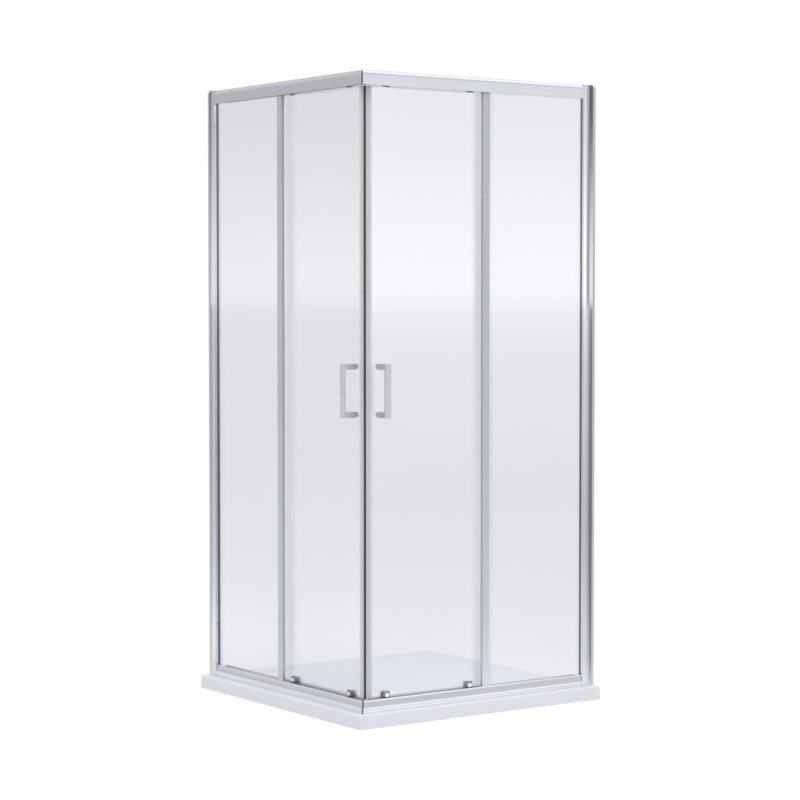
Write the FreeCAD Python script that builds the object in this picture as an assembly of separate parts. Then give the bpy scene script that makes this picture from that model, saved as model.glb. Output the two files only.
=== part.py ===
import FreeCAD, Part
import math
import os

Vector = FreeCAD.Vector

# A square shower enclosure for a room's corner, entered at its free corner through two sliding doors.
# All lengths are in millimetres. The row frame has +Z up and its origin under the middle of the tray.
# Each side is drawn once, for the face that runs along +X, in local places: u along the face from the
# free corner, v inwards from the rails' front, z up from the tray's top. The other side is its mirror.

# Tray
tray_side = 900.0
tray_height = 40.0
tray_corner_radius = 4.5
tray_edge_round = 3.0
tray_rim_width = 85.0
recess_depth = 12.0
recess_corner_radius = 50.0
recess_wall_run = 15.0

# Waste outlet in the tray's floor
waste_inset = 215.0
waste_hole_radius = 45.0
waste_flange_radius = 57.0
waste_flange_thickness = 3.0
waste_seat_clearance = 0.3
waste_bore_radius = 40.0
waste_socket_radius = 41.5
waste_socket_depth = 9.0
waste_neck_foot = 2.0
cover_radius = 55.0
cover_thickness = 3.0
cover_edge_round = 2.0
cover_gap = 4.0
cover_sleeve_wall = 2.0
cover_rib_width = 4.0
cover_rib_reach = 9.0
cover_rib_count = 4

# Frame as a whole
enclosure_height = 1850.0
rail_setback = 25.0
rail_depth = 48.0
rail_wall = 2.0
glass_thickness = 6.0
fixed_glass_inset = 9.0
door_glass_gap = 13.0
gasket_wall = 1.0
joint_gap = 0.5
running_gap = 0.3
cut_overrun = 5.0
parallel_share = 0.999

# Top rail
top_rail_height = 42.5
top_rail_round = 13.0
glazing_web_lift = 8.0
track_lip_lift = 5.0

# Bottom rail
bottom_rail_height = 36.5
fascia_lean = 6.0
fascia_lean_top = 32.5
fascia_foot = 3.0
bottom_rail_base = 2.5
glazing_rib_height = 20.0
bottom_rail_back_height = 26.0

# Glazing gaskets
rail_gasket_base = 2.0
bottom_gasket_height = 18.0
top_gasket_height = 24.0
fixed_glass_head_room = 4.0

# Side posts and wall channels
channel_show = 11.0
channel_inset = 8.5
channel_depth = 17.0
channel_wall = 2.0
channel_overlap = 22.0
post_width = 42.0
post_depth = 28.0
post_flat_width = 11.0
post_curve_drop = 7.0
post_wall = 2.0
post_cap_height = 4.0
fixed_glass_seat = 8.0
slide_clearance = 0.3
wall_hole_radius = 2.75
wall_hole_margin = 123.0
wall_hole_inner_share = 0.3375
post_screw_inset = 11.0
post_screw_margin = 153.0
post_screw_count = 3
post_screw_head_radius = 3.5
post_screw_head_height = 2.2
post_screw_radius = 1.9
post_screw_reach = 7.5

# Corner connectors, rail end brackets and their screws
connector_thickness = 4.0
connector_inset = 1.5
tongue_front = 20.0
tongue_top_depth = 23.0
tongue_bottom_depth = 18.0
tongue_thickness = 3.5
tongue_length = 75.0
bracket_length = 30.0
bracket_flange = 3.0
bracket_flange_height = 28.0
rail_screw_radius = 1.5
rail_screw_head_radius = 2.6
rail_screw_head_height = 1.3
rail_screw_skin = 0.5
rail_screw_edge = 4.0
post_hold_length = 6.0
post_hold_lift = 7.5
screw_clearance = 0.05

# Fixed panel's edge profile
opening_share = 0.535
edge_profile_width = 25.0
edge_profile_web = 3.0
edge_profile_leg = 2.5
edge_profile_round = 1.2

# Doors
door_glass_start = 42.0
door_overlap = 38.0
door_glass_foot = 14.0
door_head_room = 6.0
seal_wall = 2.0
seal_end_gap = 1.0
leading_seal_reach = 51.0
magnet_gap = 0.4
magnet_width = 4.2
magnet_seat = 0.3
magnet_side = 0.3
trailing_seal_wall = 1.5
trailing_seal_grip = 10.0
trailing_fin_reach = 7.0
trailing_fin_clearance = 3.3
trailing_fin_thickness = 1.2
stop_length = 10.4
stop_width = 8.0
stop_height = 12.0
stop_lift = 2.0

# Rollers
roller_front = 100.0
roller_rear_inset = 76.0
roller_hole_radius = 6.0
bush_clearance = 0.1
bush_flange_radius = 8.0
bush_flange_height = 3.2
axle_radius = 3.0
axle_clearance = 0.05
axle_collar_radius = 5.0
axle_collar_height = 1.5
wheel_width = 6.0
upper_wheel_radius = 11.0
wheel_edge_round = 0.6
upper_cap_width = 22.0
upper_cap_height = 26.0
upper_cap_drop = 19.8
roller_body_depth = 7.5
roller_edge_round = 0.8
lower_axle_height = 42.0
lower_wheel_radius = 10.0
groove_radius = 8.0
track_rib_thickness = 2.0
lower_body_width = 22.0
lower_body_height = 24.0
bezel_thickness = 1.0
pocket_width = 16.6
button_clearance = 0.3
button_width = 13.0
button_stand_out = 2.3
button_flange_width = 16.0
button_flange_thickness = 1.2
button_edge_round = 0.6
button_travel = 2.0
button_end_room = 1.0
spring_thickness = 0.4
spring_length = 12.0
spring_width = 8.0
spring_clearance = 0.05

# Handles
handle_centre_u = 80.0
handle_centre_height = 930.0
handle_height = 157.0
handle_width = 20.0
handle_stand_off = 45.0
handle_bar_thickness = 7.0
handle_arm_height = 17.5
handle_edge_round = 1.2
handle_end_chamfer = 4.0
handle_washer_radius = 8.0
handle_washer_thickness = 1.0
handle_bolt_radius = 3.0
handle_bolt_head_radius = 6.0
handle_bolt_head_height = 3.0
handle_bolt_reach = 14.0
handle_bolt_end_gap = 1.0
handle_hole_radius = 5.0
handle_bolt_clearance = 0.05

# Places that follow from the sizes above
frame_reach = tray_side - rail_setback
corner = Vector(rail_setback - tray_side / 2, rail_setback - tray_side / 2, tray_height)
top_rail_foot = enclosure_height - top_rail_height
fixed_glass_back = fixed_glass_inset + glass_thickness
door_glass_front = fixed_glass_back + door_glass_gap
door_glass_back = door_glass_front + glass_thickness
door_glass_top = enclosure_height - rail_wall - door_head_room
post_end = frame_reach - channel_show
post_start = post_end - post_width
post_height = enclosure_height - post_cap_height
rail_end = post_start - joint_gap
slot_front = fixed_glass_inset - gasket_wall
slot_back = fixed_glass_back + gasket_wall
fixed_panel_start = post_start * opening_share
fixed_glass_start = fixed_panel_start + edge_profile_web
fixed_glass_end = post_start + fixed_glass_seat
fixed_glass_foot = bottom_rail_base + rail_gasket_base
fixed_glass_top = enclosure_height - rail_wall - rail_gasket_base - fixed_glass_head_room
door_glass_end = fixed_panel_start + door_overlap
roller_rear = door_glass_end - roller_rear_inset
wheel_start = door_glass_back + bush_flange_height + running_gap
wheel_end = wheel_start + wheel_width
wheel_middle = (wheel_start + wheel_end) / 2
track_lip_top = top_rail_foot + track_lip_lift + rail_wall
upper_axle_height = track_lip_top + running_gap + upper_wheel_radius
track_rib_top = lower_axle_height - groove_radius - running_gap
roller_front_face = door_glass_front - roller_body_depth
seal_foot = bottom_rail_height + seal_end_gap
seal_top = top_rail_foot - seal_end_gap
handle_front = door_glass_front - handle_stand_off
post_middle_height = post_height / 2
post_lip_back = slot_back + post_wall
post_slot_end = fixed_glass_end + rail_gasket_base
post_step = post_end - channel_overlap - slide_clearance - post_wall
post_hold_u = (post_slot_end + post_step) / 2


def box(u_low, u_high, v_low, v_high, z_low, z_high):
    """A block between six planes."""
    size = (u_high - u_low, v_high - v_low, z_high - z_low)
    return Part.makeBox(size[0], size[1], size[2], Vector(u_low, v_low, z_low))


def rod(radius, start, end):
    """A cylinder from one point to another."""
    run = end - start
    return Part.makeCylinder(radius, run.Length, start, run)


def face_from(start, steps):
    """A flat face: each step is the next point, or an arc's middle and end."""
    edges = []
    here = start
    for step in steps:
        if isinstance(step, tuple):
            end = step[1]
            edges.append(Part.Arc(here, step[0], end).toShape())
        else:
            end = step
            edges.append(Part.LineSegment(here, end).toShape())
        here = end
    if here != start:
        edges.append(Part.LineSegment(here, start).toShape())
    return Part.Face(Part.Wire(edges))


def fuse_all(shapes):
    """One solid from pieces that meet."""
    return shapes[0].multiFuse(shapes[1:]).removeSplitter()


def cut_all(shape, tools):
    """A shape with all the tools cut out of it."""
    return shape.cut(Part.makeCompound(tools))


def easing_middle(run, rise):
    """Middle of an arc that sets out along the run and ends at that run and rise."""
    radius = (run * run + rise * rise) / (2 * rise)
    half = math.atan2(run, radius - rise) / 2
    return radius * math.sin(half), radius * (1 - math.cos(half))


def edges_along(shape, axis):
    """The straight edges of a shape that lie along one axis."""
    chosen = []
    for edge in shape.Edges:
        if edge.Curve.TypeId == "Part::GeomLine":
            heading = edge.tangentAt(edge.FirstParameter)
            if abs(heading.dot(axis)) > parallel_share:
                chosen.append(edge)
    return chosen


def rounded_square(half, radius, z):
    """A closed wire of a square with round corners, about the origin."""
    share = 1 - math.sqrt(0.5)
    flat = half - radius
    edges = []
    for turn in range(4):
        angle = math.radians(90 * turn)
        ahead = Vector(math.cos(angle), math.sin(angle), 0)
        left = Vector(-math.sin(angle), math.cos(angle), 0)
        lift = Vector(0, 0, z)
        low = ahead * half - left * flat + lift
        high = ahead * half + left * flat + lift
        bend = (ahead + left) * (half - radius * share) + lift
        after = ahead * flat + left * half + lift
        edges.append(Part.LineSegment(low, high).toShape())
        edges.append(Part.Arc(high, bend, after).toShape())
    return Part.Wire(edges)


def shower_tray():
    """The tray: a slab with a round edge, a shallow recess and the waste hole."""
    half = tray_side / 2
    slab = Part.makeBox(tray_side, tray_side, tray_height, Vector(-half, -half, 0))
    slab = slab.makeFillet(tray_corner_radius, edges_along(slab, Vector(0, 0, 1)))
    top_edges = [edge for edge in slab.Edges if edge.BoundBox.ZMin > tray_height / 2]
    slab = slab.makeFillet(tray_edge_round, top_edges)
    mouth = half - tray_rim_width
    floor = tray_height - recess_depth
    slope = recess_wall_run / recess_depth
    lift = cut_overrun * slope
    upper = rounded_square(mouth + lift, recess_corner_radius + lift, tray_height + cut_overrun)
    lower = rounded_square(mouth - recess_wall_run, recess_corner_radius - recess_wall_run, floor)
    recess = Part.makeLoft([lower, upper], True, True)
    centre = waste_centre()
    hole = rod(waste_hole_radius, centre - Vector(0, 0, cut_overrun), centre + Vector(0, 0, tray_height))
    seat_radius = waste_flange_radius + waste_seat_clearance
    seat_foot = centre + Vector(0, 0, floor - waste_flange_thickness)
    seat = rod(seat_radius, seat_foot, centre + Vector(0, 0, tray_height))
    return cut_all(slab, [recess, hole, seat])


def waste_centre():
    """Point under the outlet, at the tray's foot."""
    place = waste_inset - tray_side / 2
    return Vector(place, place, 0)


def waste_flange():
    """The outlet's ring, with a neck through the tray for the trap below."""
    centre = waste_centre()
    floor = tray_height - recess_depth
    top = centre + Vector(0, 0, floor)
    neck_foot = centre + Vector(0, 0, waste_neck_foot)
    plate = rod(waste_flange_radius, top - Vector(0, 0, waste_flange_thickness), top)
    neck = rod(waste_hole_radius - waste_seat_clearance, neck_foot, top)
    bore = rod(waste_bore_radius, centre, top + Vector(0, 0, cut_overrun))
    socket = rod(waste_socket_radius, top - Vector(0, 0, waste_socket_depth), top + Vector(0, 0, cut_overrun))
    return cut_all(fuse_all([plate, neck]), [bore, socket])


def waste_cover():
    """The lift-out cover: a disc on ribs above a sleeve that stands in the flange."""
    centre = waste_centre()
    floor = tray_height - recess_depth
    seat = centre + Vector(0, 0, floor - waste_socket_depth)
    flange_top = centre + Vector(0, 0, floor)
    disc_foot = flange_top + Vector(0, 0, cover_gap)
    disc_top = disc_foot + Vector(0, 0, cover_thickness)
    sleeve_radius = waste_socket_radius - waste_seat_clearance
    bore_radius = sleeve_radius - cover_sleeve_wall
    disc = rod(cover_radius, disc_foot, disc_top)
    rim = [edge for edge in disc.Edges if edge.BoundBox.ZMin > disc_top.z - cover_thickness / 2]
    disc = disc.makeFillet(cover_edge_round, rim)
    sleeve = rod(sleeve_radius, seat, flange_top).cut(rod(bore_radius, seat, flange_top))
    pieces = [disc, sleeve]
    for number in range(cover_rib_count):
        rib = box(bore_radius, sleeve_radius + cover_rib_reach, -cover_rib_width / 2, cover_rib_width / 2,
                  floor, floor + cover_gap)
        rib.rotate(Vector(0, 0, 0), Vector(0, 0, 1), 360.0 * number / cover_rib_count)
        rib.translate(centre)
        pieces.append(rib)
    return fuse_all(pieces)


def top_rail_outline(inset):
    """The top rail's outer outline, drawn in by an inset."""
    radius = top_rail_round
    low = top_rail_foot + inset
    high = enclosure_height - inset
    bend_z = enclosure_height - radius
    bend = (radius - inset) * math.sqrt(0.5)
    start = Vector(0, inset, low)
    steps = [Vector(0, inset, bend_z),
             (Vector(0, radius - bend, bend_z + bend), Vector(0, radius, high)),
             Vector(0, rail_depth - inset, high),
             Vector(0, rail_depth - inset, low)]
    return face_from(start, steps)


def bottom_rail_outline(inset):
    """The bottom rail's outer outline, drawn in by an inset."""
    run, rise = easing_middle(fascia_lean_top - fascia_foot, fascia_lean)
    top = bottom_rail_height - inset
    back = rail_depth - inset
    start = Vector(0, inset, inset)
    steps = [Vector(0, inset, fascia_foot),
             (Vector(0, rise + inset, fascia_foot + run),
              Vector(0, fascia_lean + inset, fascia_lean_top)),
             Vector(0, fascia_lean + inset, top),
             Vector(0, fascia_lean + rail_wall, top),
             Vector(0, back, bottom_rail_back_height - inset),
             Vector(0, back, inset)]
    return face_from(start, steps)


def along_rail(face):
    """A rail's outline drawn out along the whole face."""
    return face.extrude(Vector(rail_end, 0, 0))


def mitre_cut(offset):
    """All that lies on the other side's part of the corner, past a line beside the diagonal."""
    low = -cut_overrun
    high = rail_depth + cut_overrun
    points = [Vector(low + offset, low, 0), Vector(high + offset, high, 0),
              Vector(low - rail_depth, high, 0), Vector(low - rail_depth, low, 0)]
    face = face_from(points[0], points[1:])
    wedge = face.extrude(Vector(0, 0, enclosure_height + 2 * cut_overrun))
    wedge.translate(Vector(0, 0, -cut_overrun))
    return wedge


def mitre_offset():
    """How far the rail's mitred end stands from the diagonal, along the face."""
    return (connector_thickness / 2 + joint_gap / 2) * math.sqrt(2)


def top_rail():
    """The top rail: a rounded hood with a glazing channel and a lip for the wheels."""
    outline = along_rail(top_rail_outline(0))
    hollow = along_rail(top_rail_outline(rail_wall))
    hollow_foot = top_rail_foot - cut_overrun
    throat = box(0, rail_end, rail_wall, rail_depth - rail_wall, hollow_foot, top_rail_foot + rail_wall)
    skin = cut_all(outline, [hollow, throat])
    web_foot = top_rail_foot + glazing_web_lift
    lip_front = wheel_start - running_gap
    webs = [box(0, rail_end, slot_front - rail_wall, slot_front, web_foot, enclosure_height),
            box(0, rail_end, slot_back, slot_back + rail_wall, web_foot, enclosure_height),
            box(0, rail_end, lip_front, rail_depth - rail_wall, track_lip_top - rail_wall, track_lip_top)]
    inside = Part.makeCompound(webs).common(outline)
    rail = fuse_all([skin] + inside.Solids)
    rear_foot = box(0, rail_end, lip_front, rail_depth + cut_overrun, hollow_foot, track_lip_top - rail_wall)
    cuts = [mitre_cut(mitre_offset()), rear_foot]
    for place in rail_screw_places("top"):
        cuts.append(rail_screw_hole(place, "top"))
    return cut_all(rail, cuts)


def bottom_rail():
    """The bottom rail: a rounded sill with a glazing channel and a rib for the lower wheels."""
    run, rise = easing_middle(fascia_lean_top - fascia_foot, fascia_lean)
    lip_foot = bottom_rail_height - rail_wall / 2
    lip_back = fascia_lean + rail_wall
    start = Vector(0, 0, 0)
    steps = [Vector(0, 0, fascia_foot),
             (Vector(0, rise, fascia_foot + run),
              Vector(0, fascia_lean, fascia_lean_top)),
             Vector(0, fascia_lean, lip_foot),
             (Vector(0, fascia_lean + rail_wall / 2, bottom_rail_height), Vector(0, lip_back, lip_foot)),
             Vector(0, lip_back, fascia_lean_top),
             (Vector(0, rail_wall + rise, fascia_foot + run), Vector(0, rail_wall, fascia_foot)),
             Vector(0, rail_wall, 0)]
    fascia = along_rail(face_from(start, steps))
    rib_front = wheel_middle - track_rib_thickness / 2
    pieces = [fascia,
              box(0, rail_end, 0, rail_depth, 0, bottom_rail_base),
              box(0, rail_end, slot_front - rail_wall, slot_front, 0, glazing_rib_height),
              box(0, rail_end, slot_back, slot_back + rail_wall, 0, glazing_rib_height),
              box(0, rail_end, rib_front, rib_front + track_rib_thickness, 0, track_rib_top),
              box(0, rail_end, rail_depth - rail_wall, rail_depth, 0, bottom_rail_back_height)]
    cuts = [mitre_cut(mitre_offset())]
    for place in rail_screw_places("bottom"):
        cuts.append(rail_screw_hole(place, "bottom"))
    return cut_all(fuse_all(pieces), cuts)


def tongue_depth(level):
    """How deep a tongue or bracket plate is at the top or the bottom rail."""
    return tongue_top_depth if level == "top" else tongue_bottom_depth


def tongue_heights(level):
    """The lower and upper height of a tongue or bracket plate."""
    if level == "top":
        high = enclosure_height - rail_wall
        return high - tongue_thickness, high
    return bottom_rail_base, bottom_rail_base + tongue_thickness


def rail_screw_places(level):
    """The places, along and across the rail, of the screws through tongue and bracket."""
    rows = [tongue_front + rail_screw_edge, tongue_front + tongue_depth(level) - rail_screw_edge]
    columns = [tongue_length - rail_screw_edge, rail_end - bracket_length + rail_screw_edge]
    return [(u, v) for u in columns for v in rows]


def rail_screw_hole(place, level):
    """The hole that a rail screw cuts in tongue, bracket and rail."""
    u, v = place
    low, high = rail_screw_span(level)
    return rod(rail_screw_radius + screw_clearance, Vector(u, v, low), Vector(u, v, high))


def rail_screw_span(level):
    """The lower and upper height of a rail screw's shank."""
    low, high = tongue_heights(level)
    if level == "top":
        return low, enclosure_height - rail_screw_skin
    return rail_screw_skin, high


def rail_screw(place, level):
    """One screw that holds a tongue or bracket to its rail, head inside the rail."""
    u, v = place
    low, high = rail_screw_span(level)
    shank = rod(rail_screw_radius, Vector(u, v, low), Vector(u, v, high))
    if level == "top":
        head = rod(rail_screw_head_radius, Vector(u, v, low - rail_screw_head_height), Vector(u, v, low))
    else:
        head = rod(rail_screw_head_radius, Vector(u, v, high), Vector(u, v, high + rail_screw_head_height))
    return fuse_all([shank, head])


def flange_heights(level):
    """The lower and upper height of an end bracket's upright flange."""
    low, high = tongue_heights(level)
    if level == "top":
        return high - bracket_flange_height, high
    return low, low + bracket_flange_height


def post_hold_heights(level):
    """The heights of the screws from an end bracket's leg into the post."""
    low, high = flange_heights(level)
    return [low + post_hold_lift, high - post_hold_lift]


def post_hold_screw(z):
    """One screw from an end bracket's leg into the post's solid part beside the glass."""
    seat = Vector(post_hold_u, post_lip_back + bracket_flange, z)
    shank = rod(rail_screw_radius, Vector(post_hold_u, post_lip_back - post_hold_length, z), seat)
    head = rod(rail_screw_head_radius, seat, seat + Vector(0, rail_screw_head_height, 0))
    return fuse_all([shank, head])


def post_hold_hole(z):
    """The hole of such a screw."""
    radius = rail_screw_radius + screw_clearance
    start = Vector(post_hold_u, post_lip_back - post_hold_length, z)
    return rod(radius, start, Vector(post_hold_u, post_lip_back + bracket_flange, z))


def rail_end_bracket(level):
    """An angle in a rail's end: a plate along the rail, a flange that closes it, a leg behind the post."""
    low, high = tongue_heights(level)
    flange_low, flange_high = flange_heights(level)
    back = tongue_front + tongue_depth(level)
    flange_start = rail_end - bracket_flange
    plate = box(rail_end - bracket_length, rail_end, tongue_front, back, low, high)
    flange = box(flange_start, rail_end, post_lip_back, back, flange_low, flange_high)
    leg = box(flange_start, post_step - joint_gap, post_lip_back, post_lip_back + bracket_flange,
              flange_low, flange_high)
    cuts = [rail_screw_hole(place, level) for place in rail_screw_places(level)]
    cuts += [post_hold_hole(z) for z in post_hold_heights(level)]
    return cut_all(fuse_all([plate, flange, leg]), cuts)


def corner_connector(level):
    """The joint between two mitred rails: a plate on the diagonal with a tongue into each rail."""
    outline = top_rail_outline if level == "top" else bottom_rail_outline
    sheet = outline(connector_inset).extrude(Vector(rail_depth, 0, 0))
    sheet = sheet.common(other_side(sheet))
    reach = connector_thickness / 2 * math.sqrt(2)
    near = mitre_cut(reach)
    far = other_side(near)
    plate = sheet.common(near).common(far)
    low, high = tongue_heights(level)
    back = tongue_front + tongue_depth(level)
    start = Vector(tongue_front, tongue_front, low)
    points = [Vector(tongue_length, tongue_front, low),
              Vector(tongue_length, back, low),
              Vector(back, back, low)]
    tongue = face_from(start, points).extrude(Vector(0, 0, high - low))
    for place in rail_screw_places(level):
        tongue = tongue.cut(rail_screw_hole(place, level))
    return fuse_all([plate, tongue, other_side(tongue)])


def other_side(shape):
    """The same piece on the other face of the enclosure."""
    return shape.mirror(Vector(0, 0, 0), Vector(1, -1, 0))


def rail_gasket(level):
    """A soft strip folded round the fixed glass's top or bottom edge, inside the rail's channel."""
    if level == "top":
        base = fixed_glass_top + rail_gasket_base
        low, high = base - top_gasket_height, base
    else:
        low, high = bottom_rail_base, bottom_rail_base + bottom_gasket_height
    strip = box(fixed_glass_start, rail_end, slot_front, slot_back, low, high)
    return strip.cut(fixed_glass())


def post_gasket():
    """A soft strip round the fixed glass's edge, as deep as the post's slot."""
    strip = box(post_start, post_slot_end, slot_front, slot_back, seal_foot, seal_top)
    return strip.cut(fixed_glass())


def fixed_glass():
    """The fixed pane."""
    return box(fixed_glass_start, fixed_glass_end, fixed_glass_inset, fixed_glass_back,
               fixed_glass_foot, fixed_glass_top)


def fixed_edge_profile():
    """The upright profile on the fixed pane's free edge."""
    low = bottom_rail_height + joint_gap
    high = top_rail_foot + glazing_web_lift - joint_gap
    end = fixed_panel_start + edge_profile_width
    front = fixed_glass_inset - edge_profile_leg
    back = fixed_glass_back + edge_profile_leg
    profile = box(fixed_panel_start, end, front, back, low, high)
    profile = profile.makeFillet(edge_profile_round, edges_along(profile, Vector(0, 0, 1)))
    return profile.cut(fixed_glass())


def post_section(height):
    """The post's outer shape: flat, then curving back towards the wall, and thinner behind the glass."""
    run, rise = easing_middle(post_end - post_start - post_flat_width, post_curve_drop)
    bend = post_start + post_flat_width
    start = Vector(post_start, 0, 0)
    steps = [Vector(bend, 0, 0),
             (Vector(bend + run, rise, 0), Vector(post_end, post_curve_drop, 0)),
             Vector(post_end, post_depth, 0),
             Vector(post_step, post_depth, 0),
             Vector(post_step, post_lip_back, 0),
             Vector(post_start, post_lip_back, 0)]
    return face_from(start, steps).extrude(Vector(0, 0, height))


def channel_start():
    """Where the wall channel's legs end inside the post."""
    return post_end - channel_overlap


def side_post():
    """The upright that holds the fixed pane and slides over the wall channel."""
    low = -cut_overrun
    high = post_height + cut_overrun
    cavity_start = channel_start() - slide_clearance
    cavity_front = channel_inset - slide_clearance
    cavity_back = channel_inset + channel_depth + slide_clearance
    beyond = post_end + cut_overrun
    cuts = [box(post_start - cut_overrun, post_slot_end, slot_front, slot_back, low, high),
            box(cavity_start, beyond, cavity_front, cavity_back, low, high)]
    cuts += [post_screw_hole(z) for z in post_screw_heights()]
    for level in ("top", "bottom"):
        cuts += [post_hold_hole(z) for z in post_hold_heights(level)]
    return cut_all(post_section(post_height), cuts)


def post_cap():
    """The cover on the post's top."""
    cap = post_section(post_cap_height)
    cap.translate(Vector(0, 0, post_height))
    return cap


def wall_hole_heights():
    """Heights of the wall channel's screw holes."""
    outer_reach = post_middle_height - wall_hole_margin
    reaches = [outer_reach, outer_reach * wall_hole_inner_share]
    return [post_middle_height + sign * reach for reach in reaches for sign in (1, -1)]


def wall_channel():
    """The channel that is screwed to the wall, with the post slid over its legs."""
    back = channel_inset + channel_depth
    profile = box(channel_start(), frame_reach, channel_inset, back, 0, post_height)
    hollow = box(channel_start() - cut_overrun, frame_reach - channel_wall, channel_inset + channel_wall,
                 back - channel_wall, -cut_overrun, post_height + cut_overrun)
    cuts = [hollow]
    middle = channel_inset + channel_depth / 2
    for z in wall_hole_heights():
        start = Vector(frame_reach - channel_wall - cut_overrun, middle, z)
        cuts.append(rod(wall_hole_radius, start, Vector(frame_reach + cut_overrun, middle, z)))
    cuts += [post_screw_hole(z) for z in post_screw_heights()]
    return cut_all(profile, cuts)


def post_screw_heights():
    """Heights of the screws that hold the post to the wall channel."""
    spacing = (post_height - 2 * post_screw_margin) / (post_screw_count - 1)
    return [post_screw_margin + number * spacing for number in range(post_screw_count)]


def post_screw_end():
    """How deep a post screw's end lies, seen from the frame's front."""
    return post_depth - post_screw_reach


def post_screw(z):
    """One screw from inside the cabin through the post into the wall channel."""
    u = post_end - post_screw_inset
    seat = Vector(u, post_depth, z)
    head = rod(post_screw_head_radius, seat, seat + Vector(0, post_screw_head_height, 0))
    shank = rod(post_screw_radius, Vector(u, post_screw_end(), z), seat)
    return fuse_all([head, shank])


def post_screw_hole(z):
    """The hole of such a screw."""
    u = post_end - post_screw_inset
    radius = post_screw_radius + screw_clearance
    return rod(radius, Vector(u, post_screw_end(), z), Vector(u, post_depth + cut_overrun, z))


def roller_places():
    """The two places of a door's rollers along the face."""
    return [roller_front, roller_rear]


def handle_bolt_heights():
    """The heights of a handle's two bolts."""
    reach = (handle_height - handle_arm_height) / 2
    return [handle_centre_height + reach, handle_centre_height - reach]


def door_glass():
    """The sliding pane, with its roller and handle holes."""
    pane = box(door_glass_start, door_glass_end, door_glass_front, door_glass_back,
               door_glass_foot, door_glass_top)
    front = door_glass_front - cut_overrun
    back = door_glass_back + cut_overrun
    holes = []
    for u in roller_places():
        for z in (upper_axle_height, lower_axle_height):
            holes.append(rod(roller_hole_radius, Vector(u, front, z), Vector(u, back, z)))
    for z in handle_bolt_heights():
        place = Vector(handle_centre_u, front, z)
        holes.append(rod(handle_hole_radius, place, Vector(handle_centre_u, back, z)))
    return cut_all(pane, holes)


def leading_seal():
    """The profile on a door's closing edge, cut on the diagonal, that carries the magnet."""
    front = door_glass_front - seal_wall
    back = door_glass_back + seal_wall
    lead = magnet_gap + magnet_width + magnet_seat
    start = Vector(front + lead, front, seal_foot)
    points = [Vector(leading_seal_reach, front, seal_foot),
              Vector(leading_seal_reach, door_glass_front, seal_foot),
              Vector(door_glass_start, door_glass_front, seal_foot),
              Vector(door_glass_start, door_glass_back, seal_foot),
              Vector(leading_seal_reach, door_glass_back, seal_foot),
              Vector(leading_seal_reach, back, seal_foot),
              Vector(back + lead, back, seal_foot)]
    return face_from(start, points).extrude(Vector(0, 0, seal_top - seal_foot))


def magnet_strip():
    """The magnet along a door's closing edge, with its face beside the diagonal."""
    front = door_glass_front - seal_wall + magnet_side
    back = door_glass_back + seal_wall - magnet_side
    wide = magnet_gap + magnet_width + magnet_seat
    start = Vector(front + magnet_gap, front, seal_foot)
    points = [Vector(front + wide, front, seal_foot), Vector(back + wide, back, seal_foot),
              Vector(back + magnet_gap, back, seal_foot)]
    return face_from(start, points).extrude(Vector(0, 0, seal_top - seal_foot))


def trailing_seal():
    """The clip-on seal at a door's rear edge, with a fin towards the fixed pane."""
    front = door_glass_front - trailing_seal_wall
    back = door_glass_back + trailing_seal_wall
    web_end = door_glass_end + trailing_seal_wall
    fin_tip = fixed_glass_back + trailing_fin_clearance
    fin_end = door_glass_end + trailing_fin_reach
    start = Vector(door_glass_end - trailing_seal_grip, front, seal_foot)
    points = [Vector(door_glass_end, front, seal_foot),
              Vector(fin_end - trailing_fin_thickness, fin_tip, seal_foot),
              Vector(fin_end, fin_tip, seal_foot),
              Vector(web_end, door_glass_front, seal_foot),
              Vector(web_end, back, seal_foot),
              Vector(door_glass_end - trailing_seal_grip, back, seal_foot),
              Vector(door_glass_end - trailing_seal_grip, door_glass_back, seal_foot),
              Vector(door_glass_end, door_glass_back, seal_foot),
              Vector(door_glass_end, door_glass_front, seal_foot),
              Vector(door_glass_end - trailing_seal_grip, door_glass_front, seal_foot)]
    return face_from(start, points).extrude(Vector(0, 0, seal_top - seal_foot))


def door_stop(level):
    """A soft block on an end bracket's flange that ends the door's travel."""
    low, high = flange_heights(level)
    foot = low + stop_lift if level == "top" else door_glass_foot + stop_lift
    middle = (door_glass_front + door_glass_back) / 2
    end = rail_end - bracket_flange
    return box(end - stop_length, end, middle - stop_width / 2, middle + stop_width / 2,
               foot, foot + stop_height)


def roller_bush(u, z):
    """The bush through the pane, with a shoulder that keeps the wheel off the glass."""
    front = Vector(u, door_glass_front, z)
    back = Vector(u, door_glass_back, z)
    sleeve = rod(roller_hole_radius - bush_clearance, front, back)
    flange = rod(bush_flange_radius, back, back + Vector(0, bush_flange_height, 0))
    bore = rod(axle_radius + axle_clearance, front, back + Vector(0, bush_flange_height, 0))
    return fuse_all([sleeve, flange]).cut(bore)


def axle(u, z):
    """The axle behind a roller's outer body, ending in a collar that keeps the wheel on."""
    start = Vector(u, door_glass_front, z)
    collar_start = Vector(u, wheel_end + running_gap, z)
    collar = rod(axle_collar_radius, collar_start, collar_start + Vector(0, axle_collar_height, 0))
    return fuse_all([rod(axle_radius, start, collar_start), collar])


def upper_roller(u):
    """An upper roller's chrome cap and axle in one piece."""
    low = upper_axle_height - upper_cap_drop
    half = upper_cap_width / 2
    cap = box(u - half, u + half, roller_front_face, door_glass_front, low, low + upper_cap_height)
    cap = cap.makeFillet(roller_edge_round, edges_along(cap, Vector(0, 1, 0)))
    return fuse_all([cap, axle(u, upper_axle_height)])


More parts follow.
